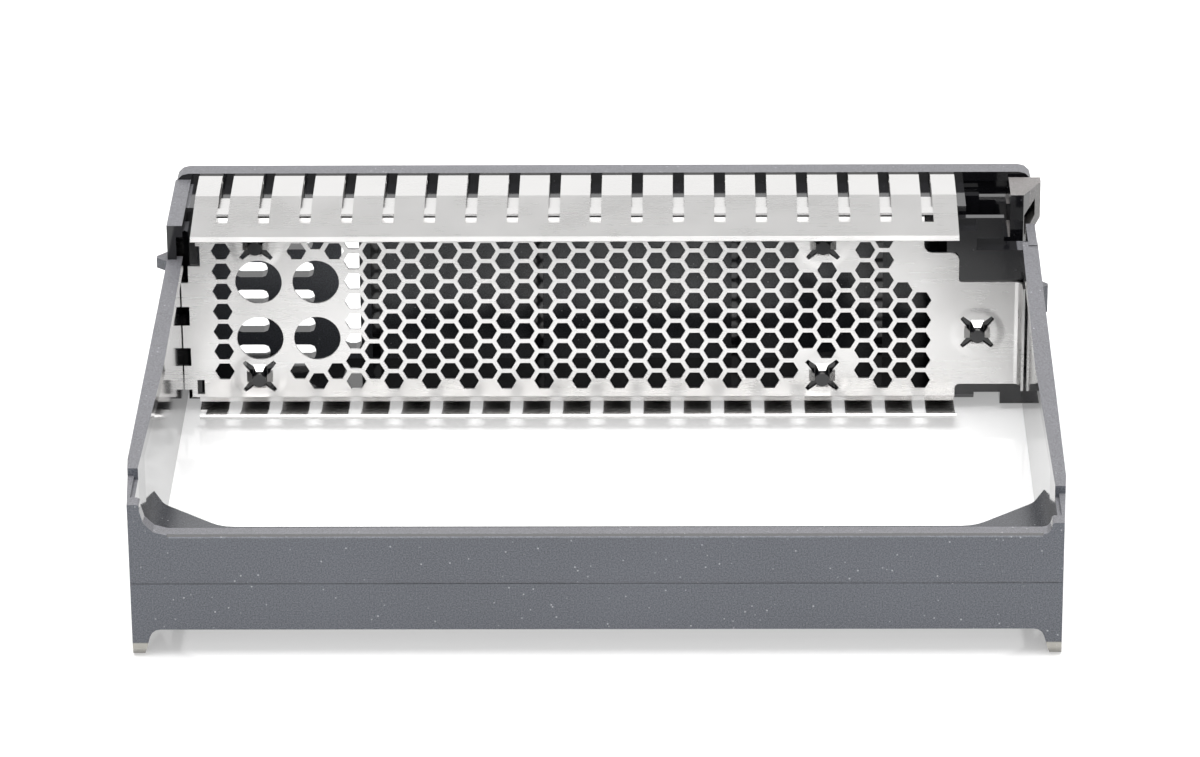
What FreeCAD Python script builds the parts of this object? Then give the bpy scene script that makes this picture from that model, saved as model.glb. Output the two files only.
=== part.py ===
import FreeCAD, Part
import math
import os

V = FreeCAD.Vector

# All sizes are in millimetres. X runs across, Y from the rear crossbar towards the front face, Z up.
# Positions along Y are written from the rear face and shifted to the middle of the length at the end.

# Overall sizes of the moulded frame
LENGTH = 81.0
WIDTH = 105.6
HEIGHT = 27.2
CORNER_R = 1.6
PLATE_T = 2.0
RIM_DEPTH = 2.6

# Box behind the front face that carries the shield
STEP = 1.4
BOX_DEPTH = 13.65
BOX_WALL = 1.2
BOX_FLOOR = 0.55
BOX_SIDE = 1.7
BOX_LIP = 1.6
EDGE_BEVEL = 0.72
SIDE_SLOT = 0.5
LATCH_BAY = 7.2
END_RELIEF = 3.4
RELIEF_Z = 0.6

# Side walls and rails
SIDE_T = 1.1
SIDE_LIP_T = 1.9
SIDE_LIP_H = 1.5
SIDE_DEPTH = 17.4
RAIL_LAP = 1.0
RAIL_SET_IN = 1.8
RAIL_REAR_SET_IN = 0.9
RAIL_BULGE = 0.45
RAIL_FRONT_BULGE = 0.05
RAIL_TAPER_IN = 0.25
RAIL_TAPER_Y = 35.0
LEAD_IN = 10.0
LEFT_TOP_FRONT = 22.0
LEFT_TOP_REAR = 20.0
RIGHT_TOP_FRONT = 23.6
RIGHT_TOP_REAR = 17.6
LEFT_STEP_Z = 19.1
RIGHT_STEP_Z = 16.7
STEP_Y = 7.8
NOTCH_DEPTH = 0.5
NOTCH_SET_IN = 0.45

# Rear crossbar
BAR_T = 2.0
BAR_TOP = 15.3
BAR_CORNER_R = 3.0
BAR_RIGHT_R = 1.0
BAR_TIP_R = 0.3
BAR_END_W = 1.35
BAR_CHAMFER = 0.35
ARCH_Z = 3.5
ARCH_SET_IN = 2.5
FOOT_W = 1.3
ARCH_R = 1.2
FOOT_CHAMFER = 1.1
PARTING_Z = 9.3
PARTING_W = 0.2
PARTING_D = 0.12
WEB_Z = 8.7
WEB_T = 1.0
WEB_EDGE = 14.0
WEB_SET_IN = 0.5
GUSSET_SET_IN = 9.6
GUSSET_Y = 23.7
GUSSET_TIP_X = 1.45
GUSSET_TIP_Y = 3.6
GUSSET_R = 3.0
WEB_FILLET = 4.0

# Openings in the front face, placed from the left side
VENT_AT = (8.9, 14.65)
VENT_W = 4.1
VENT_H = 2.0
VENT_R = 0.7
VENT_PITCH = 3.73
VENT_FIRST = 2.84
VENT_ROWS = 6
TALL_AT = 21.3
TALL_W = 2.2
TALL_Z0 = 3.2
TALL_Z1 = 22.6
RIB_T = 1.0
RIB_DEPTH = 4.0
RIB_SHARES = (-0.536, -0.152, 0.309, 0.644)

# Shield sheet; the hexagon field has a share of the width for each column
SHEET_T = 0.3
SHEET_FIT = 0.05
HEX_PITCH = 2.671
HEX_FLATS = 2.12
COLUMNS_ACROSS = 45.65
HEX_X0 = -0.35
HEX_Z0 = 13.57
ROUND_D = 5.7
ROUND_COLUMNS = (-18.05, -15.02)
ROUND_ROWS = (17.5, 10.0)
EAR_TOP = 17.3
EAR_BOTTOM = 3.7
EAR_SET_IN = 2.4
EAR_W = 6.9
EAR_BEND = 0.95
EAR_FLANGE = 1.4
NOTCH_W = 4.3
NOTCH_Z = 21.2
NOTCH_FLANGE = 2.6
EDGE_FIT = 0.1
EDGE_Z0 = 2.6
EDGE_Z1 = 19.7
TAB_HEIGHTS = ((3.1, 6.3), (8.7, 11.7), (14.2, 17.4))
TAB_ROOT = 0.9
LOW_RELIEF = (1.55, 2.45, 2.5, 4.4)
HIGH_RELIEF = (0.0, 2.4, 19.6, 22.3)

# Spring strips folded along the top and bottom of the shield
STRIP_LEFT_GAP = 3.0
STRIP_RIGHT_GAP = 9.6
STRIP_BEND = 0.9
STRIP_FOLD_R = 0.5
STRIP_FOLD_BACK = 0.75
STRIP_CREST = 4.2
STRIP_BAND = 9.5
STRIP_DROP = 1.4
STRIP_LIP = 0.45
STRIP_LIP_BACK = 0.3
SLOT_START = 2.9
SLOT_SHARE = 18.44
SLOT_W = 1.4
SLOT_COUNT = 18
SLOT_ROOT = 5.9
SLOT_END = 3.1
LOW_SLOT_START = 3.5
LOW_SLOT_SHARE = 18.74
LOW_SLOT_W = 1.6
LOW_SLOT_END = 1.0
LOW_CREST = 0.1
LOW_BAND = 5.4
LOW_RISE = 1.45
LOW_TRIM = 0.4
LOW_MARGIN = 0.5

# Plastic posts that hold the shield, as (column, height), and the one on the ear
POST_SPOTS = ((-18.14, 22.5), (-18.14, 4.9), (11.78, 22.4), (11.78, 4.9))
EAR_POST_SET_IN = 6.95
EAR_POST_Z = 10.65
POST_R = 0.85
POST_OUT = 1.5
POST_BOSS = 1.6
POST_BOSS_DEPTH = 3.0
SLIT_REACH = 2.7
SLIT_ROOT_W = 1.2
SLIT_TIP_W = 0.5
PETAL_R = 1.45
PETAL_ROOT_W = 1.6
PETAL_TIP_W = 0.8
PETAL_RISE = 0.75
PETAL_GAP = 0.06

# Release latch and its bearings, placed from the right side
PIVOT_SET_IN = 2.9
PIVOT_Z = 10.6
PIN_R = 1.0
PIN_FIT = 0.06
PIN_DEPTH = 1.3
PIN_FLOOR = 0.8
LATCH_T = 1.7
LATCH_BACK = 9.0
LATCH_GAP = 0.6
LATCH_TOP = 26.7
HEAD_T = 1.6
HEAD_SET_IN = 1.3
HEAD_LAP = 1.3
ARM_FOOT = 19.9
HOOK_OUT = 1.0
HOOK_LOW = 22.0
HOOK_LAND = 1.4
HOOK_WALL = 0.75
HUB_R = 1.4
LEAF_T = 0.6
LEAF_SET_IN = 2.55
LEAF_LOW = 4.6
LEAF_MARGIN = 0.9
TAB_W = 4.4
TAB_SET_IN = 2.2
TAB_Z0 = 13.8
TAB_Z1 = 23.4
TAB_T = 2.35
TAB_SHY = 0.1
STEM_W = 2.2
RIDGE_W = 0.6
RIDGE_D = 0.4
RIDGE_COUNT = 4
SWING_ROOM = 2.0
SIDE_ROOM = 0.45
WINDOW_BELOW = 0.9
WINDOW_ABOVE = 0.6
CURTAIN_T = 1.2
CURTAIN_LAP = 0.1
CLEAR_END = 0.35
BEARING_T = 2.8
BEARING_SET_IN = 9.6
BEARING_FOOT = 0.9
BEARING_FOOT_W = 4.0
BEARING_LOW = 2.6
BEARING_TOP = 21.4
GUARD_TOP = 24.9
GUARD_SET_IN = 3.8
GUARD_T = 1.0
LATCH_CUT_Z = 19.4
LATCH_CUT_BACK = 1.6

# Detent bumps on the outside of the side walls
BUMP_OUT = 1.45
BUMP_LEN = 3.4
BUMP_TIP0 = 1.2
BUMP_TIP1 = 1.8
LEFT_BUMP_Z = (20.4, 21.7)
RIGHT_BUMP_Z = (14.3, 17.8)

# Small overlap that makes joined solids one
LAP = 0.5

# Places along Y
RIM_REAR = LENGTH - RIM_DEPTH
PLATE_REAR = LENGTH - PLATE_T
BOX_REAR = LENGTH - BOX_DEPTH
SIDE_REAR = LENGTH - SIDE_DEPTH
SHEET_Y = BOX_REAR - SHEET_FIT - SHEET_T
STRIP_FOLD_Y = RIM_REAR - STRIP_FOLD_BACK
STRIP_CREST_Y = SHEET_Y + STRIP_CREST
STRIP_EDGE_Y = STRIP_CREST_Y - STRIP_BAND
SLOT_ROOT_Y = SHEET_Y + SLOT_ROOT
SLOT_END_Y = STRIP_EDGE_Y + SLOT_END
LOW_CREST_Y = SHEET_Y + LOW_CREST
LOW_EDGE_Y = LOW_CREST_Y - LOW_BAND
LOW_SLOT_END_Y = LOW_EDGE_Y + LOW_SLOT_END
POST_TIP_Y = SHEET_Y - POST_OUT
LATCH_REAR = LENGTH - LATCH_BACK
LATCH_FRONT = RIM_REAR - LATCH_GAP
TAB_FRONT = LENGTH - TAB_SHY
TAB_REAR = TAB_FRONT - TAB_T
CURTAIN_FRONT = TAB_REAR - CLEAR_END

# Places along X
HALF = WIDTH / 2
WALL_IN = HALF - SIDE_T
BOX_LEFT = WALL_IN - SIDE_SLOT
BOX_RIGHT = HALF - LATCH_BAY
RAIL_IN = HALF - RAIL_SET_IN
RAIL_REAR_IN = HALF - RAIL_REAR_SET_IN
RAIL_OUT = HALF + RAIL_BULGE
RAIL_FRONT_OUT = HALF + RAIL_FRONT_BULGE
RAIL_REAR_OUT = HALF - RAIL_TAPER_IN
BAR_END = RAIL_REAR_OUT - BAR_END_W
GUSSET_X = HALF - GUSSET_SET_IN
COLUMN = WIDTH / COLUMNS_ACROSS
EDGE_LEFT = EDGE_FIT - WALL_IN
EDGE_RIGHT = HALF - EAR_SET_IN
EAR_LEFT = EDGE_RIGHT - EAR_W
NOTCH_LEFT = EAR_LEFT - NOTCH_W
STRIP_LEFT = STRIP_LEFT_GAP - HALF
STRIP_RIGHT = HALF - STRIP_RIGHT_GAP
PIVOT_X = HALF - PIVOT_SET_IN
ARM_OUT = HALF - HEAD_SET_IN
HOOK_TIP = HALF + HOOK_OUT
LEAF_X = HALF - LEAF_SET_IN
TAB_X1 = HALF - TAB_SET_IN
TAB_X0 = TAB_X1 - TAB_W
BEARING_X0 = HALF - BEARING_SET_IN
GUARD_X1 = HALF - GUARD_SET_IN
POST_AT = [(HEX_X0 + c * COLUMN, z) for c, z in POST_SPOTS] + [(HALF - EAR_POST_SET_IN, EAR_POST_Z)]

# Places along Z
BOX_TOP = HEIGHT - STEP
BOX_BOTTOM = STEP
MIDDLE = HEIGHT / 2


def box(x0, x1, y0, y1, z0, z1):
    return Part.makeBox(x1 - x0, y1 - y0, z1 - z0, V(x0, y0, z0))


def face_of(points):
    return Part.Face(Part.makePolygon([V(*p) for p in points] + [V(*points[0])]))


def prism_y(points, y0, y1):
    # Points are (x, z); the outline runs along Y.
    return face_of([(x, y0, z) for x, z in points]).extrude(V(0, y1 - y0, 0))


def prism_x(points, x0, x1):
    # Points are (y, z); the outline runs along X.
    return face_of([(x0, y, z) for y, z in points]).extrude(V(x1 - x0, 0, 0))


def prism_z(points, z0, z1):
    # Points are (x, y); the outline runs along Z.
    return face_of([(x, y, z0) for x, y in points]).extrude(V(0, 0, z1 - z0))


def rod_y(x, z, r, y0, y1):
    return Part.makeCylinder(r, y1 - y0, V(x, y0, z), V(0, 1, 0))


def fuse(shapes):
    out = shapes[0].multiFuse(shapes[1:]) if len(shapes) > 1 else shapes[0]
    return out.removeSplitter()


def corner(points, radius, steps=3):
    # Rounds every corner of a plane outline with short chords; radius may be one number or a list.
    out = []
    n = len(points)
    for i, p in enumerate(points):
        r = radius[i] if isinstance(radius, (list, tuple)) else radius
        if r <= 0:
            out.append(p)
            continue
        a = points[i - 1]
        b = points[(i + 1) % n]
        ux, uy = a[0] - p[0], a[1] - p[1]
        vx, vy = b[0] - p[0], b[1] - p[1]
        lu, lv = math.hypot(ux, uy), math.hypot(vx, vy)
        ux, uy, vx, vy = ux / lu, uy / lu, vx / lv, vy / lv
        half = math.acos(max(-1.0, min(1.0, ux * vx + uy * vy))) / 2
        reach = r / math.tan(half)
        cx, cy = ux + vx, uy + vy
        lc = math.hypot(cx, cy)
        cx = p[0] + cx / lc * r / math.sin(half)
        cy = p[1] + cy / lc * r / math.sin(half)
        a0 = math.atan2(p[1] + uy * reach - cy, p[0] + ux * reach - cx)
        a1 = math.atan2(p[1] + vy * reach - cy, p[0] + vx * reach - cx)
        turn = (a1 - a0 + math.pi) % (2 * math.pi) - math.pi
        for k in range(steps + 1):
            t = a0 + turn * k / steps
            out.append((cx + r * math.cos(t), cy + r * math.sin(t)))
    return out


def ribbon(path, thick):
    # Closed outline of a strip of even thickness along a path of points.
    left, right = [], []
    n = len(path)
    for i, p in enumerate(path):
        a = path[max(i - 1, 0)]
        b = path[min(i + 1, n - 1)]
        d1 = (p[0] - a[0], p[1] - a[1]) if i > 0 else (b[0] - p[0], b[1] - p[1])
        d2 = (b[0] - p[0], b[1] - p[1]) if i < n - 1 else d1
        l1, l2 = math.hypot(*d1), math.hypot(*d2)
        n1 = (-d1[1] / l1, d1[0] / l1)
        n2 = (-d2[1] / l2, d2[0] / l2)
        mx, my = n1[0] + n2[0], n1[1] + n2[1]
        s = thick / (mx * n1[0] + my * n1[1]) / 2
        left.append((p[0] + mx * s, p[1] + my * s))
        right.append((p[0] - mx * s, p[1] - my * s))
    return left + right[::-1]


def arc(cx, cy, r, a0, a1, steps):
    out = []
    for k in range(steps + 1):
        t = math.radians(a0 + (a1 - a0) * k / steps)
        out.append((cx + r * math.cos(t), cy + r * math.sin(t)))
    return out


# Frame: front face with its rim
outline = [(-HALF, 0), (HALF, 0), (HALF, HEIGHT), (-HALF, HEIGHT)]
solids = [prism_y(corner(outline, CORNER_R), RIM_REAR, LENGTH)]
hollow_top = BOX_TOP - BOX_WALL
hollow_bottom = BOX_BOTTOM + BOX_FLOOR

# Box that stands behind the front face, shortened at its two upper ends
box_out = box(-BOX_LEFT, BOX_RIGHT, BOX_REAR, RIM_REAR, BOX_BOTTOM, BOX_TOP)
for x0, x1 in ((-BOX_LEFT, STRIP_LEFT - SHEET_FIT), (STRIP_RIGHT + SHEET_FIT, BOX_RIGHT)):
    box_out = box_out.cut(box(x0, x1, BOX_REAR, BOX_REAR + END_RELIEF, hollow_top - RELIEF_Z, BOX_TOP))
# Bevelled edges where the sheet bends round the box
for z, dz in ((BOX_TOP, 1), (BOX_BOTTOM, -1)):
    reach = EDGE_BEVEL + 0.1
    bevel = [(-0.1, -reach * dz), (reach, 0.1 * dz), (-0.1, 0.1 * dz)]
    box_out = box_out.cut(prism_x([(BOX_REAR + y, z + h) for y, h in bevel], -HALF, HALF))
bevel = [(-0.1, reach), (reach, -0.1), (-0.1, -0.1)]
box_out = box_out.cut(prism_z([(x - BOX_LEFT, BOX_REAR + y) for x, y in bevel], 0, HEIGHT))
solids.append(box_out)

# Side walls with a thicker lip along the top, from the rim back to the rails
for side in (-1, 1):
    wall = box(HALF - SIDE_T, HALF, SIDE_REAR, RIM_REAR, 0, HEIGHT - CORNER_R / 2)
    lip_top = HEIGHT - CORNER_R / 2
    lip = box(HALF - SIDE_LIP_T, HALF, SIDE_REAR, RIM_REAR, lip_top - SIDE_LIP_H, lip_top)
    piece = wall.fuse(lip)
    if side < 0:
        piece = piece.mirror(V(0, 0, 0), V(1, 0, 0))
    solids.append(piece)

# Rails: plan outline with lead-in at the rear, trimmed by the sloping side profile
rail_front = SIDE_REAR + RAIL_LAP
plan = [
    (RAIL_REAR_IN, 0), (RAIL_REAR_OUT, 0), (RAIL_OUT, LEAD_IN), (RAIL_FRONT_OUT, rail_front),
    (RAIL_IN, rail_front), (RAIL_IN, RAIL_TAPER_Y), (RAIL_REAR_IN, STEP_Y),
]
left_rail = (-1, LEFT_TOP_FRONT, LEFT_TOP_REAR, LEFT_STEP_Z)
right_rail = (1, RIGHT_TOP_FRONT, RIGHT_TOP_REAR, RIGHT_STEP_Z)
for side, front, rear, low in (left_rail, right_rail):
    profile = [(0, 0), (rail_front, 0), (rail_front, front), (STEP_Y, rear), (STEP_Y, low), (0, low)]
    rail = prism_z([(side * x, y) for x, y in plan], 0, HEIGHT)
    rail = rail.common(prism_x(profile, -HALF - 2, HALF + 2))
    notch_x = sorted((side * RAIL_IN, side * (HALF - NOTCH_SET_IN)))
    rail = rail.cut(box(notch_x[0], notch_x[1], BAR_T, STEP_Y, low - NOTCH_DEPTH, HEIGHT))
    # Inner face flush with the side wall, under a lip along the top
    under = [
        (STEP_Y, -1), (rail_front + 1, -1), (rail_front + 1, front - SIDE_LIP_H), (STEP_Y, rear - SIDE_LIP_H),
    ]
    inside_x = sorted((side * (RAIL_IN - 0.1), side * WALL_IN))
    rail = rail.cut(prism_x(under, inside_x[0], inside_x[1]))
    solids.append(rail)

# Crossbar: rear wall with raised ends and an arched underside
bar_half = RAIL_REAR_OUT
bar = corner(
    [
        (-bar_half, 0), (FOOT_W - bar_half, 0), (ARCH_SET_IN - HALF, ARCH_Z),
        (HALF - ARCH_SET_IN, ARCH_Z), (bar_half - FOOT_W, 0), (bar_half, 0),
        (bar_half, RIGHT_STEP_Z), (BAR_END, RIGHT_STEP_Z), (BAR_END, BAR_TOP),
        (-BAR_END, BAR_TOP), (-BAR_END, LEFT_STEP_Z), (-bar_half, LEFT_STEP_Z),
    ],
    [0, 0, ARCH_R, ARCH_R, 0, 0, 0, BAR_TIP_R, BAR_RIGHT_R, BAR_CORNER_R, BAR_TIP_R, 0],
)
wall = prism_y(bar, 0, BAR_T)
solids.append(wall)

# Web behind the crossbar with a gusset at each end
root = HALF - RAIL_REAR_SET_IN + 0.1
tip_x = WALL_IN - GUSSET_TIP_X
tip_y = GUSSET_Y - GUSSET_TIP_Y
web = corner(
    [
        (-root, WEB_SET_IN), (root, WEB_SET_IN), (root, GUSSET_Y + LAP), (WALL_IN, GUSSET_Y),
        (tip_x, tip_y), (GUSSET_X, WEB_EDGE), (-GUSSET_X, WEB_EDGE),
        (-tip_x, tip_y), (-WALL_IN, GUSSET_Y), (-root, GUSSET_Y + LAP),
    ],
    [0, 0, 0, 0, GUSSET_R, WEB_FILLET, WEB_FILLET, GUSSET_R, 0, 0],
)
solids.append(prism_z(web, WEB_Z, WEB_Z + WEB_T))

# Bearing plate beside the latch, its guard and the floor of the latch room
plate_front = BOX_REAR + BEARING_T
bearing_step = HALF - BEARING_FOOT_W
solids.append(box(BEARING_X0, bearing_step, BOX_REAR, plate_front, BEARING_LOW, BEARING_TOP))
solids.append(box(bearing_step, WALL_IN + LAP, BOX_REAR, plate_front, BEARING_FOOT, BEARING_TOP))
solids.append(box(BEARING_X0, GUARD_X1, plate_front - GUARD_T, plate_front, BEARING_TOP - LAP, GUARD_TOP))
solids.append(box(BOX_RIGHT - LAP, WALL_IN + LAP, plate_front - LAP, RIM_REAR, BOX_BOTTOM, hollow_bottom))
frame = fuse(solids)

# Hollow of the box, open to the rear
hollow = (BOX_SIDE - BOX_LEFT, BEARING_X0 - BOX_WALL)
frame = frame.cut(box(*hollow, BOX_REAR - 1, PLATE_REAR, BOX_BOTTOM + BOX_WALL, hollow_top))
frame = frame.cut(box(*hollow, BOX_REAR + BOX_LIP, PLATE_REAR, hollow_bottom, hollow_top))
# Latch room at the right end, open above and to the side above the hook
room_x0 = BEARING_X0 + BOX_WALL
frame = frame.cut(box(room_x0, WALL_IN, plate_front, PLATE_REAR, hollow_bottom, BOX_TOP + 0.2))
frame = frame.cut(box(BOX_RIGHT, HALF + 1, LATCH_REAR - LATCH_CUT_BACK, RIM_REAR, LATCH_CUT_Z, HEIGHT + 1))
frame = frame.cut(box(GUARD_X1, HALF + 1, SIDE_REAR - 0.1, RIM_REAR, RIGHT_TOP_FRONT, HEIGHT + 1))
lip_x0 = HALF - SIDE_LIP_T - 0.1
frame = frame.cut(box(lip_x0, WALL_IN, SIDE_REAR + RAIL_LAP, RIM_REAR, BEARING_TOP + 0.1, HEIGHT))

# Bosses with posts for the shield, ribs behind the face, curtain behind the window, detent bumps
posts = []
for x, z in POST_AT:
    foot = EDGE_BEVEL + 0.2
    foot_z = (BOX_BOTTOM + foot, z + POST_BOSS) if z < MIDDLE else (z - POST_BOSS, BOX_TOP - foot)
    if x < BEARING_X0:
        posts.append(box(x - POST_BOSS, x + POST_BOSS, BOX_REAR, BOX_REAR + POST_BOSS_DEPTH, *foot_z))
    posts.append(rod_y(x, z, POST_R, POST_TIP_Y, BOX_REAR + LAP))
for share in RIB_SHARES:
    x = share * HALF
    rib_z = (hollow_bottom - LAP, hollow_top + LAP)
    posts.append(box(x - RIB_T / 2, x + RIB_T / 2, PLATE_REAR - RIB_DEPTH, PLATE_REAR + LAP, *rib_z))
curtain_y = (CURTAIN_FRONT - CURTAIN_T, CURTAIN_FRONT)
curtain_z = (hollow_bottom - LAP, TAB_Z1 + 2 * WINDOW_ABOVE)
posts.append(box(room_x0 - LAP, TAB_X0 + CURTAIN_LAP, *curtain_y, *curtain_z))
for x0, x1, zs in ((-HALF, -HALF - BUMP_OUT, LEFT_BUMP_Z), (HALF, HALF + BUMP_OUT, RIGHT_BUMP_Z)):
    edge = x0 - math.copysign(0.4, x0)
    bump_front = SIDE_REAR + BUMP_LEN
    wedge = [
        (edge, SIDE_REAR), (x0, SIDE_REAR), (x1, SIDE_REAR + BUMP_TIP0),
        (x1, SIDE_REAR + BUMP_TIP1), (x0, bump_front), (edge, bump_front),
    ]
    posts.append(prism_z(wedge, zs[0], zs[1]))
frame = fuse([frame] + posts)

# Openings in the front face: vents, one tall slot and the latch window
cuts = []
tall_x = TALL_AT - HALF
openings = [(tall_x - TALL_W / 2, tall_x + TALL_W / 2, TALL_Z0, TALL_Z1)]
for place in VENT_AT:
    x = place - HALF
    for k in range(VENT_ROWS):
        z = VENT_FIRST + k * VENT_PITCH
        openings.append((x - VENT_W / 2, x + VENT_W / 2, z - VENT_H / 2, z + VENT_H / 2))
for x0, x1, z0, z1 in openings:
    ring = corner([(x0, z0), (x1, z0), (x1, z1), (x0, z1)], VENT_R, 2)
    cuts.append(prism_y(ring, PLATE_REAR - 1, LENGTH + 1))
window = (TAB_X0 - SWING_ROOM, TAB_X1 + SIDE_ROOM, PLATE_REAR - LAP, LENGTH + 1)
cuts.append(box(*window, TAB_Z0 - WINDOW_BELOW, TAB_Z1 + WINDOW_ABOVE))
# Bearing holes for the latch, front and rear
cuts.append(rod_y(PIVOT_X, PIVOT_Z, PIN_R + PIN_FIT, BOX_REAR + PIN_FLOOR, plate_front + LAP))
cuts.append(rod_y(PIVOT_X, PIVOT_Z, PIN_R + PIN_FIT, PLATE_REAR - LAP, PLATE_REAR + PIN_DEPTH))
# Parting line across the crossbar, its chamfered top edge and the chamfered feet
cuts.append(box(-HALF - 1, HALF + 1, -1, PARTING_D, PARTING_Z - PARTING_W / 2, PARTING_Z + PARTING_W / 2))
ridge = [(-0.1, BAR_TOP - BAR_CHAMFER - 0.1), (BAR_CHAMFER + 0.1, BAR_TOP + 0.1), (-0.1, BAR_TOP + 0.1)]
cuts.append(prism_x(ridge, BAR_CORNER_R - BAR_END, BAR_END - BAR_RIGHT_R))
foot = [(-0.5, -0.5), (FOOT_CHAMFER, -0.5), (FOOT_CHAMFER, 0), (0, FOOT_CHAMFER), (-0.5, FOOT_CHAMFER)]
cuts.append(prism_x(foot, -HALF - 1, HALF + 1))
frame = frame.cut(Part.makeCompound(cuts)).removeSplitter()

# Shield: flat plate with its outline, notch and ear
top_edge = BOX_TOP + SHEET_FIT + SHEET_T / 2 - STRIP_BEND
low_edge = HEIGHT - top_edge
left_in = STRIP_LEFT + 0.1
tab_in = EDGE_LEFT + TAB_ROOT
flat = corner(
    [
        (EDGE_LEFT, EDGE_Z0), (tab_in, EDGE_Z0), (tab_in, low_edge), (STRIP_RIGHT, low_edge),
        (STRIP_RIGHT, EAR_BOTTOM), (EDGE_RIGHT, EAR_BOTTOM), (EDGE_RIGHT, EAR_TOP), (EAR_LEFT, EAR_TOP),
        (EAR_LEFT, NOTCH_Z), (NOTCH_LEFT, NOTCH_Z), (NOTCH_LEFT, top_edge), (left_in, top_edge),
        (left_in, EDGE_Z1), (EDGE_LEFT, EDGE_Z1),
    ],
    [0, 0, 0, 0, 0.6, 0, 0, 0.4, 1.0, 1.0, 0, 0, 0, 0],
)
plate = prism_y(flat, SHEET_Y, SHEET_Y + SHEET_T)

# Hexagon field: even columns hold whole rows, odd columns sit half a pitch lower
hexes = []
spots = []
for j in range(-3, 4):
    spots.append((-20, j))
for i in range(-13, 16):
    for k in range(-4, 4):
        j = k + 0.5 if i % 2 else k
        if j < -3.6 or j > 3.6 or (i % 2 == 0 and k < -3):
            continue
        limit = {11: 1.6, 12: 2.1, 13: 1.6}.get(i, 9)
        if abs(j) > limit:
            continue
        spots.append((i, j))
for i, j0, j1 in ((16, -1, 3), (17, -0.5, 3.5)):
    j = j0
    while j <= j1:
        spots.append((i, j))
        j += 1
spots += [(-16, -3), (-14, -3), (-16, 3), (-14, 3), (-15, 3.5), (-15, -3.5)]
hex_r = HEX_FLATS / math.sqrt(3)
for i, j in spots:
    x = HEX_X0 + i * COLUMN
    z = HEX_Z0 - j * HEX_PITCH
    hexes.append(prism_y(arc(x, z, hex_r, 0, 300, 5), SHEET_Y - 1, SHEET_Y + 1))
for column in ROUND_COLUMNS:
    for z in ROUND_ROWS:
        hexes.append(rod_y(HEX_X0 + column * COLUMN, z, ROUND_D / 2, SHEET_Y - 1, SHEET_Y + 1))
for x0, x1, z0, z1 in (LOW_RELIEF, HIGH_RELIEF):
    hexes.append(box(EDGE_LEFT + x0, EDGE_LEFT + x1, SHEET_Y - 1, SHEET_Y + 1, z0, z1))
# Gaps between the tabs of the left edge
z_last = EDGE_Z0 - 0.1
for z0, z1 in list(TAB_HEIGHTS) + [(EDGE_Z1 + 0.1, EDGE_Z1)]:
    hexes.append(box(EDGE_LEFT - 1, tab_in, SHEET_Y - 1, SHEET_Y + 1, z_last, z0))
    z_last = z1
# Crossed slits for the posts, each tapering to its ends
root_w = SLIT_ROOT_W / 2
tip_w = SLIT_TIP_W / 2
dart = [
    (-SLIT_REACH, -tip_w), (0, -root_w), (SLIT_REACH, -tip_w),
    (SLIT_REACH, tip_w), (0, root_w), (-SLIT_REACH, tip_w),
]
for x, z in POST_AT:
    hexes.append(prism_y(arc(x, z, PETAL_R, 0, 337.5, 15), SHEET_Y - 1, SHEET_Y + 1))
    for turn in (45, 135):
        slit = prism_y(dart, SHEET_Y - 1, SHEET_Y + 1)
        slit.translate(V(x, 0, z))
        slit.rotate(V(x, 0, z), V(0, 1, 0), turn)
        hexes.append(slit)
plate = plate.cut(Part.makeCompound(hexes))

# Petals bent back against each post
metal = [plate]
for x, z in POST_AT:
    grip = POST_R + PETAL_GAP
    root = PETAL_R + SHEET_T / 2
    leaf = [
        (root, SHEET_Y), (root, SHEET_Y + SHEET_T),
        (grip, SHEET_Y - PETAL_RISE + SHEET_T), (grip, SHEET_Y - PETAL_RISE),
    ]
    wide = PETAL_ROOT_W / 2
    thin = PETAL_TIP_W / 2
    taper = [(x + root, z - wide), (x + root, z + wide), (x + grip, z + thin), (x + grip, z - thin)]
    for turn in (0, 90, 180, 270):
        petal = face_of([(x + r, y, z - wide) for r, y in leaf]).extrude(V(0, 0, PETAL_ROOT_W))
        petal = petal.common(prism_y(taper, SHEET_Y - 2, SHEET_Y + 2))
        petal.rotate(V(x, 0, z), V(0, 1, 0), turn)
        metal.append(petal)

# Spring strip: flange over the box, fold, crest and sloping band, with slots between the fingers
y_mid = SHEET_Y + SHEET_T / 2
z_flange = top_edge + STRIP_BEND
z_top = z_flange + 2 * STRIP_FOLD_R


def strip_band(crest_y, edge_y, drop):
    # Bend, flange, fold and return layer up to the crest, then the sloping band with its lip.
    path = [(y_mid, top_edge - 0.02)] + arc(y_mid + STRIP_BEND, top_edge, STRIP_BEND, 180, 90, 2)[1:]
    path += arc(STRIP_FOLD_Y, z_flange + STRIP_FOLD_R, STRIP_FOLD_R, -90, 90, 2)
    path += [(crest_y, z_top), (edge_y, z_top - drop)]
    path += [(edge_y - STRIP_LIP_BACK, z_top - drop - STRIP_LIP)]
    return prism_x(ribbon(path, SHEET_T), STRIP_LEFT, STRIP_RIGHT)


def slotted(band, start, share, width, end_y):
    # The band with its row of slots, which reach through both layers in front and the upper one behind.
    gaps = []
    for k in range(SLOT_COUNT):
        x0 = STRIP_LEFT + start + k * (STRIP_RIGHT - STRIP_LEFT) / share
        x1 = x0 + width
        gaps.append(box(x0, x1, SLOT_ROOT_Y, LENGTH, z_flange - 1, HEIGHT + 2))
        gaps.append(box(x0, x1, end_y, LENGTH, z_flange + STRIP_FOLD_R, HEIGHT + 2))
        gaps.append(box(x0, x1, end_y, SHEET_Y - 0.05, z_flange - 3, HEIGHT + 2))
    return band.cut(Part.makeCompound(gaps))


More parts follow.
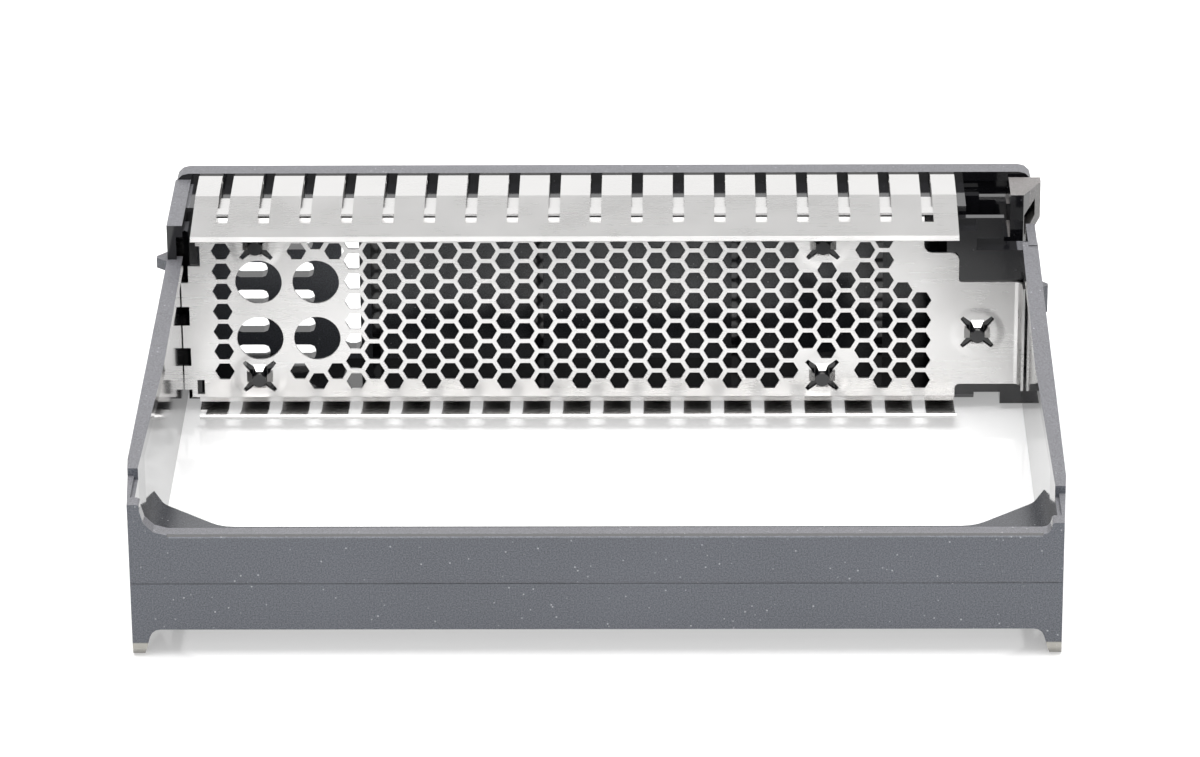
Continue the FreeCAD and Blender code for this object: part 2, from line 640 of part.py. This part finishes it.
strip = strip_band(STRIP_CREST_Y, STRIP_EDGE_Y, STRIP_DROP)
strip = slotted(strip, SLOT_START, SLOT_SHARE, SLOT_W, SLOT_END_Y)
notch_top = z_flange + SHEET_T / 2 + 0.02
strip = strip.cut(box(NOTCH_LEFT, HALF, SHEET_Y - 0.1, SHEET_Y + NOTCH_FLANGE, 0, notch_top))
lower = strip_band(LOW_CREST_Y, LOW_EDGE_Y, LOW_RISE)
lower = slotted(lower, LOW_SLOT_START, LOW_SLOT_SHARE, LOW_SLOT_W, LOW_SLOT_END_Y)
trim = STRIP_LEFT + LOW_TRIM
lower = lower.cut(box(STRIP_LEFT - 1, trim, 0, SHEET_Y - 0.05, 0, HEIGHT + 2))
lower = lower.cut(box(trim - 1, trim + LOW_MARGIN, LOW_SLOT_END_Y, SHEET_Y - 0.05, 0, HEIGHT + 2))
lower = lower.mirror(V(0, 0, MIDDLE), V(0, 0, 1))
metal += [strip, lower]

# Right ear: short flange turned back
ear_y = y_mid - EAR_BEND
ear = [(EDGE_RIGHT - 0.02, y_mid)] + arc(EDGE_RIGHT, ear_y, EAR_BEND, 90, 0, 3)
ear += [(EDGE_RIGHT + EAR_BEND, ear_y - EAR_FLANGE)]
metal.append(prism_z(ribbon(ear, SHEET_T), EAR_BOTTOM, EAR_TOP))
shield = fuse(metal)

# Release latch: hub with stub pins, blade, thumb tab, spring leaf and hollow wedge hook
blade_x0 = PIVOT_X - LATCH_T / 2
blade_x1 = PIVOT_X + LATCH_T / 2
rear = LATCH_REAR
front = LATCH_FRONT
latch = [rod_y(PIVOT_X, PIVOT_Z, HUB_R, plate_front + CLEAR_END, PLATE_REAR - CLEAR_END)]
pin_y = (BOX_REAR + PIN_FLOOR + CLEAR_END, PLATE_REAR + PIN_DEPTH - CLEAR_END)
latch.append(rod_y(PIVOT_X, PIVOT_Z, PIN_R, *pin_y))
latch.append(box(blade_x0, blade_x1, rear, front, PIVOT_Z, ARM_FOOT + HEAD_LAP))
latch.append(box(ARM_OUT - HEAD_T, ARM_OUT, rear, front, ARM_FOOT, LATCH_TOP))
latch.append(box(TAB_X1 - STEM_W, TAB_X1, front - LAP, TAB_REAR + LAP, TAB_Z0, TAB_Z1))
latch.append(box(TAB_X0, TAB_X1, TAB_REAR, TAB_FRONT, TAB_Z0, TAB_Z1))
leaf_y = (rear + LEAF_MARGIN, front - LEAF_MARGIN)
latch.append(box(LEAF_X - LEAF_T / 2, LEAF_X + LEAF_T / 2, *leaf_y, LEAF_LOW, PIVOT_Z))
hook = [
    (ARM_OUT - 0.2, rear + 0.6), (ARM_OUT, rear), (HOOK_TIP, front - HOOK_LAND),
    (HOOK_TIP, front), (ARM_OUT - 0.2, front),
]
side = [
    (ARM_OUT - 0.3, ARM_FOOT), (ARM_OUT, ARM_FOOT), (HOOK_TIP, HOOK_LOW),
    (HOOK_TIP, LATCH_TOP), (ARM_OUT - 0.3, LATCH_TOP),
]
wedge = prism_z(hook, ARM_FOOT - 1, LATCH_TOP).common(prism_y(side, rear - 1, front + 1))
inner = HOOK_TIP - HOOK_WALL
pocket = [
    (ARM_OUT + 0.1, ARM_FOOT + 1.3), (inner, HOOK_LOW + 0.9),
    (inner, LATCH_TOP - HOOK_WALL - 0.9), (ARM_OUT + 0.1, LATCH_TOP - HOOK_WALL - 2.0),
]
wedge = wedge.cut(prism_y(pocket, rear - 1, front - HOOK_WALL))
latch.append(wedge)
latch = fuse(latch)
ridges = []
for k in range(RIDGE_COUNT):
    z = TAB_Z0 + (k + 1) * (TAB_Z1 - TAB_Z0) / (RIDGE_COUNT + 1)
    ridge_z = (z - RIDGE_W / 2, z + RIDGE_W / 2)
    ridges.append(box(TAB_X0 - 1, TAB_X1 + 1, TAB_FRONT - RIDGE_D, TAB_FRONT + 1, *ridge_z))
latch = latch.cut(Part.makeCompound(ridges)).removeSplitter()

# Export, with the middle of the length at the origin
os.makedirs("parts", exist_ok=True)
for name, shape in (("frame", frame), ("emi_shield", shield), ("release_latch", latch)):
    shape.translate(V(0, -LENGTH / 2, 0))
    solid = shape.Solids
    print(name, "solids", len(solid), "valid", shape.isValid(), "volume", round(shape.Volume, 1))
    print(shape.BoundBox)
    target = solid[0] if len(solid) == 1 else shape
    target.exportStep("parts/" + name + ".step")
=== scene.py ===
import math

import bpy
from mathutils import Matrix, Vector

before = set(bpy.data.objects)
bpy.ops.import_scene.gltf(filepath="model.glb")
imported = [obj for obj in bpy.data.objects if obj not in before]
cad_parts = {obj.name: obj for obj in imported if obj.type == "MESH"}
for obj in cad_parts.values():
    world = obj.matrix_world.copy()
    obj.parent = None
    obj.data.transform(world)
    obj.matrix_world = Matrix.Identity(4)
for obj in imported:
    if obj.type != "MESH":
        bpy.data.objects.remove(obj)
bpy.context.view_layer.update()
scene = bpy.context.scene

# Places that the finishes need, in metres, in the part's own frame.
# Crossbar and its feet, at the rear
BAR_FACE = -0.0405
BAR_SKIN = 0.0002
GROOVE_FLOOR = 0.00013
GROOVE_LIP = 0.00004
GROOVE_TOP = 0.0105
BAR_TOP = 0.0145
FOOT_END = 0.0018
FOOT_DEPTH = 0.0018

# Side walls and rails
SIDE_FACE = 0.0528
SIDE_SKIN = 0.0005
SIDE_LIP = 0.0506
RAIL_INSIDE = 0.0513
RAIL_FRONT = 0.0238
STEP_FACE = -0.03
WEB_FRONT = -0.01

# Front face with its rim, and the latch beside it
FRONT_FACE = 0.0405
FRONT_ROUND = 0.0009
FACE_BACK = 0.0383
RIM_TOP = 0.0268
VENT_END = -0.028
BAY_EDGE = 0.04
LATCH_HEAD = 0.0497

# Shield sheet and the stakes that hold it, as (x, z)
SHEET_NEAR = 0.0255
SHEET_FAR = 0.0271
SHEET_LEFT = -0.0455
SHEET_RIGHT = 0.041
EAR_MIDDLE = 0.013
DISH_RADIUS = 0.0029
STAKES = (
    (-0.0423, 0.0225),
    (-0.0423, 0.0049),
    (0.0269, 0.0224),
    (0.0269, 0.0049),
    (0.04585, 0.01065),
)

# Half widths of the blends at the edges of the masks
HAIR = 0.00001
FINE = 0.00002
CRISP = 0.0001
SOFT = 0.0003
FADE = 0.003
LONG_FADE = 0.004

# A face counts as square to an axis from this share of its normal
SQUARE = 0.85
SQUARE_BLEND = 0.08

# Colours that are the same all over
BLACK = (0.0, 0.0, 0.0, 1.0)
WHITE = (1.0, 1.0, 1.0, 1.0)
FLOOR_TONE = (0.72, 0.72, 0.72, 1.0)
FLOOR_GLOW = (0.35, 0.35, 0.35, 1.0)

FLOOR_HALF = 4.0
WORLD_LIGHT = 0.5
WORLD_TOP_LOSS = 0.44


class Value:
    """One socket in a node tree; arithmetic on it adds Math nodes."""

    def __init__(self, paint, socket):
        self.paint = paint
        self.socket = socket

    def _math(self, operation, a, b=None):
        values = {0: a} if b is None else {0: a, 1: b}
        return self.paint.node("ShaderNodeMath", {"operation": operation}, values)

    def __add__(self, other):
        return self._math("ADD", self, other)

    def __radd__(self, other):
        return self._math("ADD", other, self)

    def __sub__(self, other):
        return self._math("SUBTRACT", self, other)

    def __rsub__(self, other):
        return self._math("SUBTRACT", other, self)

    def __mul__(self, other):
        return self._math("MULTIPLY", self, other)

    def __rmul__(self, other):
        return self._math("MULTIPLY", other, self)

    def least(self, other):
        return self._math("MINIMUM", self, other)

    def most(self, other):
        return self._math("MAXIMUM", self, other)

    def size(self):
        return self._math("ABSOLUTE", self)

    def root(self):
        return self._math("SQRT", self)

    def above(self, edge, soft):
        """0 below edge - soft, 1 above edge + soft, with a smooth step between."""
        return self.paint.node(
            "ShaderNodeMapRange",
            {"interpolation_type": "SMOOTHSTEP"},
            {"Value": self, "From Min": edge - soft, "From Max": edge + soft},
        )

    def below(self, edge, soft):
        """The same step the other way round."""
        return 1 - self.above(edge, soft)


class Paint:
    """A node tree under construction, with one method that adds any node."""

    def __init__(self, name, tree=None):
        self.material = None
        if tree is None:
            self.material = bpy.data.materials.new(name)
            self.material.use_nodes = True
            tree = self.material.node_tree
        self.tree = tree
        tree.nodes.clear()

    def node(self, kind, settings=None, inputs=None, output=0):
        made = self.tree.nodes.new(kind)
        for key, value in (settings or {}).items():
            setattr(made, key, value)
        for key, value in (inputs or {}).items():
            if isinstance(value, Value):
                self.tree.links.new(value.socket, made.inputs[key])
            else:
                made.inputs[key].default_value = value
        return Value(self, made.outputs[output]) if len(made.outputs) else None

    def place(self):
        return self.node("ShaderNodeTexCoord", output="Object")

    def axes(self, vector):
        split = self.node("ShaderNodeSeparateXYZ", None, {0: vector}).socket.node
        return [Value(self, split.outputs[i]) for i in range(3)]

    def normals(self):
        return self.axes(self.node("ShaderNodeNewGeometry", output="Normal"))

    def stretched(self, point, scale):
        settings = {"operation": "MULTIPLY"}
        return self.node("ShaderNodeVectorMath", settings, {0: point, 1: scale})

    def noise(self, point, scale, detail=2.0, rough=0.5):
        inputs = {"Vector": point, "Scale": scale, "Detail": detail, "Roughness": rough}
        return self.node("ShaderNodeTexNoise", None, inputs)

    def cells(self, point, scale):
        """Distance to the nearest of many scattered points."""
        return self.node("ShaderNodeTexVoronoi", None, {"Vector": point, "Scale": scale})

    def mix(self, share, a, b):
        inputs = {"Factor": share, 6: a, 7: b}
        return self.node("ShaderNodeMix", {"data_type": "RGBA"}, inputs, output=2)

    def bump(self, height, strength, distance):
        inputs = {"Height": height, "Strength": strength, "Distance": distance}
        return self.node("ShaderNodeBump", None, inputs)

    def seen(self):
        """1 for rays from the camera, a mirror or a clear piece, 0 for light on a surface."""
        rays = self.node("ShaderNodeLightPath").socket.node.outputs
        direct = Value(self, rays["Is Camera Ray"])
        mirrored = Value(self, rays["Is Glossy Ray"])
        through = Value(self, rays["Is Transmission Ray"])
        return direct.most(mirrored).most(through)

    def surface(self, inputs):
        shader = self.node("ShaderNodeBsdfPrincipled", None, inputs)
        self.node("ShaderNodeOutputMaterial", None, {"Surface": shader})
        return self.material


def linear(level):
    """Linear light from one eight-bit display level."""
    if level <= 10:
        return level / 3294.6
    return ((level / 255 + 0.055) / 1.055) ** 2.4


def rgb(r, g, b):
    """Linear colour from eight-bit display values."""
    return (linear(r), linear(g), linear(b), 1.0)


def scaled(colour, factor):
    """Colour made lighter or darker by one factor."""
    return tuple(c * factor for c in colour[:3]) + (1.0,)


def textured_faces(paint, point, lip):
    """Masks of the mould's texture: the rear face, the upward faces, and all that is textured."""
    x, y, z = paint.axes(point)
    nx, ny, nz = paint.normals()
    rearward = ny.below(-SQUARE, SQUARE_BLEND)
    groove = y.below(BAR_FACE + GROOVE_FLOOR, HAIR)
    rear = y.below(BAR_FACE + BAR_SKIN, FINE) * rearward.most(groove)
    front = y.above(FRONT_FACE - FRONT_ROUND, SOFT) * ny.above(0.5, 0.2)
    sides = x.size().above(SIDE_FACE - SIDE_SKIN, CRISP) * nx.size().above(0.6, 0.1)
    # Upward faces count on the rim, behind the box and on the side walls, not inside the box
    rim = z.above(RIM_TOP, CRISP)
    walls = x.size().above(lip, CRISP)
    outside = rim.most(y.below(RAIL_FRONT, CRISP)).most(walls)
    upward = nz.above(0.3, 0.1) * ny.above(-0.35, 0.1)
    tops = upward * z.above(BAR_TOP, SOFT) * outside
    steps = rearward * y.below(STEP_FACE, SOFT) * x.size().above(RAIL_INSIDE, CRISP)
    # The web and the back of the face have the texture only in part
    flat = nz.above(0.88, SQUARE_BLEND)
    web = flat * z.below(BAR_TOP, SOFT) * y.below(WEB_FRONT, SOFT) * 0.35
    vent_end = x.below(VENT_END, LONG_FADE) * 0.6 + 0.3
    inside = rearward * y.above(FACE_BACK, CRISP) * vent_end * x.below(BAY_EDGE, 0.001)
    textured = rear.most(front).most(sides).most(tops)
    textured = textured.most(inside).most(steps).most(web)
    return rear, tops, textured


def moulded_plastic(name, outer, painted_top_tone, inner, lip):
    """Black moulding: fine spark-eroded texture and dust outside, plain and glossy inside, with
    painted top light on upward faces, painted light in the groove and a painted reflection on the
    foot chamfers.
    """
    paint = Paint(name)
    point = paint.place()
    y, z = paint.axes(point)[1:]
    rear, tops, textured = textured_faces(paint, point, lip)

    # Texture, dust and scratches
    grain = paint.noise(point, 5200.0, 2.0, 0.6)
    fleck = paint.noise(point, 6000.0, 2.0, 0.7).above(0.5, 0.2)
    clouds = paint.noise(point, 38.0, 3.0, 0.55)
    dusty = paint.noise(point, 300.0, 1.0).above(0.5, 0.1)
    specks = paint.cells(point, 1000.0).below(0.095, 0.05)
    specks = specks * dusty * (textured * 0.9 + 0.1)
    lines = paint.noise(paint.stretched(point, (60.0, 2200.0, 2200.0)), 1.0, 1.0)
    worn = paint.noise(point, 120.0, 2.0).above(0.64, 0.06)
    scratches = lines.above(0.74, 0.02) * worn

    # Colour: flecked skin with painted top light on upward faces, then painted light in the
    # groove, a painted reflection on the foot chamfers, scratches and specks
    shade = (fleck - 0.5) * 1.1 + (clouds - 0.5) * 0.4 + 0.5 + tops * 0.15
    skin = paint.mix(shade, scaled(outer, 0.6), scaled(outer, 1.4))
    # Upward faces get a lighter tone and a lift in shade: painted top light
    painted_top_skin = paint.mix(shade, scaled(painted_top_tone, 0.6), scaled(painted_top_tone, 1.4))
    skin = paint.mix(tops, skin, painted_top_skin)
    tone = paint.mix(textured, inner, skin)
    # Pale dust in the groove, made strong enough to cancel its shade: partly dust, partly painted
    # light
    groove = rear * y.above(BAR_FACE + GROOVE_LIP, FINE) * z.below(GROOVE_TOP, 0.0002)
    tone = paint.mix(groove * (clouds * 0.3 + 0.05), tone, rgb(176, 177, 182))
    # Painted reflection: the foot chamfers take a pale beige tone for the bright floor they face
    painted_foot_reflection = z.below(FOOT_END, CRISP) * y.below(BAR_FACE + FOOT_DEPTH, CRISP)
    tone = paint.mix(painted_foot_reflection * 0.8, tone, rgb(186, 183, 174))
    tone = paint.mix(scratches * 0.25, tone, rgb(150, 152, 158))
    tone = paint.mix(specks * 0.6, tone, rgb(205, 205, 208))

    gloss = 0.08 + textured * 0.38 + (clouds - 0.5) * 0.06
    gloss = gloss + specks * 0.3 + scratches * 0.1
    height = grain * (0.04 + textured * 0.96) + specks * 0.5 - scratches * 0.5
    normal = paint.bump(height, 0.35, 0.00003)
    return paint.surface(
        {"Base Color": tone, "Roughness": gloss, "Normal": normal, "IOR": 1.56}
    )


def rolled_steel(name):
    """Bright rolled sheet: streaks, smudges, faint waves and a dish round each stake, with a
    painted reflection on the left edge and painted shade on the ear.
    """
    paint = Paint(name)
    point = paint.place()
    x, y, z = paint.axes(point)
    streaks = paint.noise(paint.stretched(point, (70.0, 3200.0, 3200.0)), 1.0, 3.0, 0.6)
    smudge = paint.noise(point, 95.0, 3.0, 0.55)
    waves = paint.noise(paint.stretched(point, (1.0, 1.0, 1.6)), 120.0, 1.0)

    # Distance to the nearest stake, in the plane of the sheet
    near = None
    for stake_x, stake_z in STAKES:
        across = x - stake_x
        up = z - stake_z
        away = (across * across + up * up).root()
        near = away if near is None else near.least(away)
    dish = near.below(DISH_RADIUS, 0.0006) * y.below(SHEET_FAR, CRISP)

    # The left edge is painted brighter as a painted reflection, and the top of the ear is painted
    # darker as a painted shade
    tone = paint.mix(smudge, rgb(205, 204, 203), rgb(219, 218, 217))
    flat = paint.normals()[1].below(-SQUARE, SQUARE_BLEND)
    # Painted reflection along the left edge, painted shade on the top of the ear
    painted_edge_light = x.below(SHEET_LEFT, FADE) * flat * y.above(SHEET_NEAR, 0.0002)
    painted_ear_shade = x.above(SHEET_RIGHT, FADE) * z.above(EAR_MIDDLE, LONG_FADE) * flat
    tone = paint.mix(painted_edge_light, tone, rgb(240, 239, 238))
    tone = paint.mix(painted_ear_shade, tone, rgb(194, 193, 192))

    gloss = 0.2 + smudge * 0.1 + streaks * 0.06
    height = streaks * 0.03 + waves * 1.1 + dish
    normal = paint.bump(height, 0.5, 0.00012)
    return paint.surface(
        {"Base Color": tone, "Metallic": 1.0, "Roughness": gloss, "Normal": normal}
    )


def white_floor():
    """Pale gloss sheet that stays white to the camera and keeps the shadow."""
    h = FLOOR_HALF
    corners = [(-h, -h, 0), (h, -h, 0), (h, h, 0), (-h, h, 0)]
    mesh = bpy.data.meshes.new("floor")
    mesh.from_pydata(corners, [], [(0, 1, 2, 3)])
    floor = bpy.data.objects.new("floor", mesh)
    scene.collection.objects.link(floor)
    paint = Paint("floor_white")
    glow = paint.mix(paint.seen(), BLACK, FLOOR_GLOW)
    finish = paint.surface(
        {
            "Base Color": FLOOR_TONE,
            "Roughness": 0.06,
            "IOR": 1.45,
            "Emission Color": glow,
            "Emission Strength": 1.0,
        }
    )
    mesh.materials.append(finish)
    return floor


def studio_world():
    """White to the camera and in reflections, darker overhead, and softer as a light."""
    world = bpy.data.worlds.new("studio")
    world.use_nodes = True
    paint = Paint("studio", world.node_tree)
    seen = paint.seen()
    way = paint.node("ShaderNodeTexCoord", output="Generated")
    high = paint.axes(way)[2].above(0.58, 0.16)
    strength = seen * (1.0 - high * WORLD_TOP_LOSS) + (1 - seen) * WORLD_LIGHT
    inputs = {"Color": WHITE, "Strength": strength}
    glow = paint.node("ShaderNodeBackground", None, inputs)
    paint.node("ShaderNodeOutputWorld", None, {"Surface": glow})
    return world


def softbox(name, place, aim, width, depth, power):
    """Rectangular lamp that looks from its place at a point."""
    lamp = bpy.data.lights.new(name, "AREA")
    lamp.shape = "RECTANGLE"
    lamp.size = width
    lamp.size_y = depth
    lamp.energy = power
    holder = bpy.data.objects.new(name, lamp)
    holder.location = place
    look = Vector(aim) - Vector(place)
    holder.rotation_euler = look.to_track_quat("-Z", "Y").to_euler()
    scene.collection.objects.link(holder)


# Finishes on the moulded and folded pieces
INNER_BLACK = rgb(20, 20, 23)
# Second tone of each moulding is painted top light on its upward faces
frame_black = moulded_plastic(
    "frame_black", rgb(88, 91, 98), rgb(96, 96, 100), INNER_BLACK, SIDE_LIP
)
latch_black = moulded_plastic(
    "latch_black", rgb(106, 104, 103), rgb(108, 105, 104), INNER_BLACK, LATCH_HEAD
)
shield_sheet = rolled_steel("shield_sheet")
finishes = {
    "frame": frame_black,
    "emi_shield": shield_sheet,
    "release_latch": latch_black,
}
for node, finish in finishes.items():
    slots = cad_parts[node].data.materials
    slots.clear()
    slots.append(finish)

# Floor and surroundings
floor = white_floor()
scene.world = studio_world()

# Soft studio light: a large box overhead, a long low one behind the face, a fill at the camera
softbox("overhead", (0.0, -0.02, 0.8), (0.0, 0.0, 0.0), 0.9, 0.95, 11.0)
softbox("behind", (0.0, 0.9, 0.39), (0.0, 0.0, 0.02), 1.5, 0.34, 0.6)
softbox("fill", (0.1, -1.0, 0.55), (0.0, 0.0, 0.01), 0.9, 0.6, 2.5)

# Camera at the photographed angle
CAMERA_PLACE = (0.01016, -0.64746, 0.30665)
CAMERA_TURN = (65.854, 0.434, 0.705)
lens = bpy.data.cameras.new("camera")
lens.lens = 180.0
lens.sensor_width = 36.0
lens.clip_start = 0.01
camera = bpy.data.objects.new("camera", lens)
camera.location = CAMERA_PLACE
camera.rotation_euler = [math.radians(angle) for angle in CAMERA_TURN]
scene.collection.objects.link(camera)
scene.camera = camera

scene.view_settings.view_transform = "Standard"
